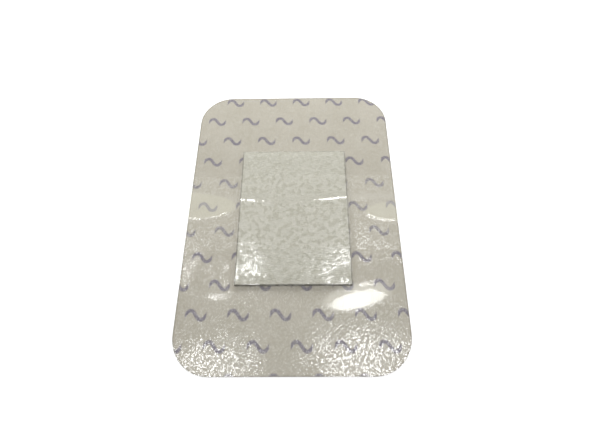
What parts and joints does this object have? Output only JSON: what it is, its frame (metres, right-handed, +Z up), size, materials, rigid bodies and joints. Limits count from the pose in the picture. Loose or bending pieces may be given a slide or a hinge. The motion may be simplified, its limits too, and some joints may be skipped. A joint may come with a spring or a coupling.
{
  "type": "transparent film dressing",
  "caption": "Flat adhesive film wound dressing with a central absorbent pad, a printed carrier film below and a clear overlapping release liner above.",
  "frame": {"origin": "middle of the underside, on the surface that the dressing lies on", "axes": "+Z up, out of the wound side; +Y along the length, towards the liner half that lies on top; +X across"},
  "size_m": [0.05, 0.072, 0.0015],
  "materials": {
    "carrier_film": "milky translucent printed film, satin",
    "adhesive_film": "clear thin polyurethane film",
    "pad_fabric": "pressed non-woven with fine mottled grain",
    "liner_film": "clear glossy film with fine embossed speckle"
  },
  "bodies": {
    "root": {"carrier_film": "carrier_film", "adhesive_film": "adhesive_film", "absorbent_pad": "pad_fabric", "release_liner_near": "liner_film", "release_liner_far": "liner_film"}
  },
  "joints": []
}
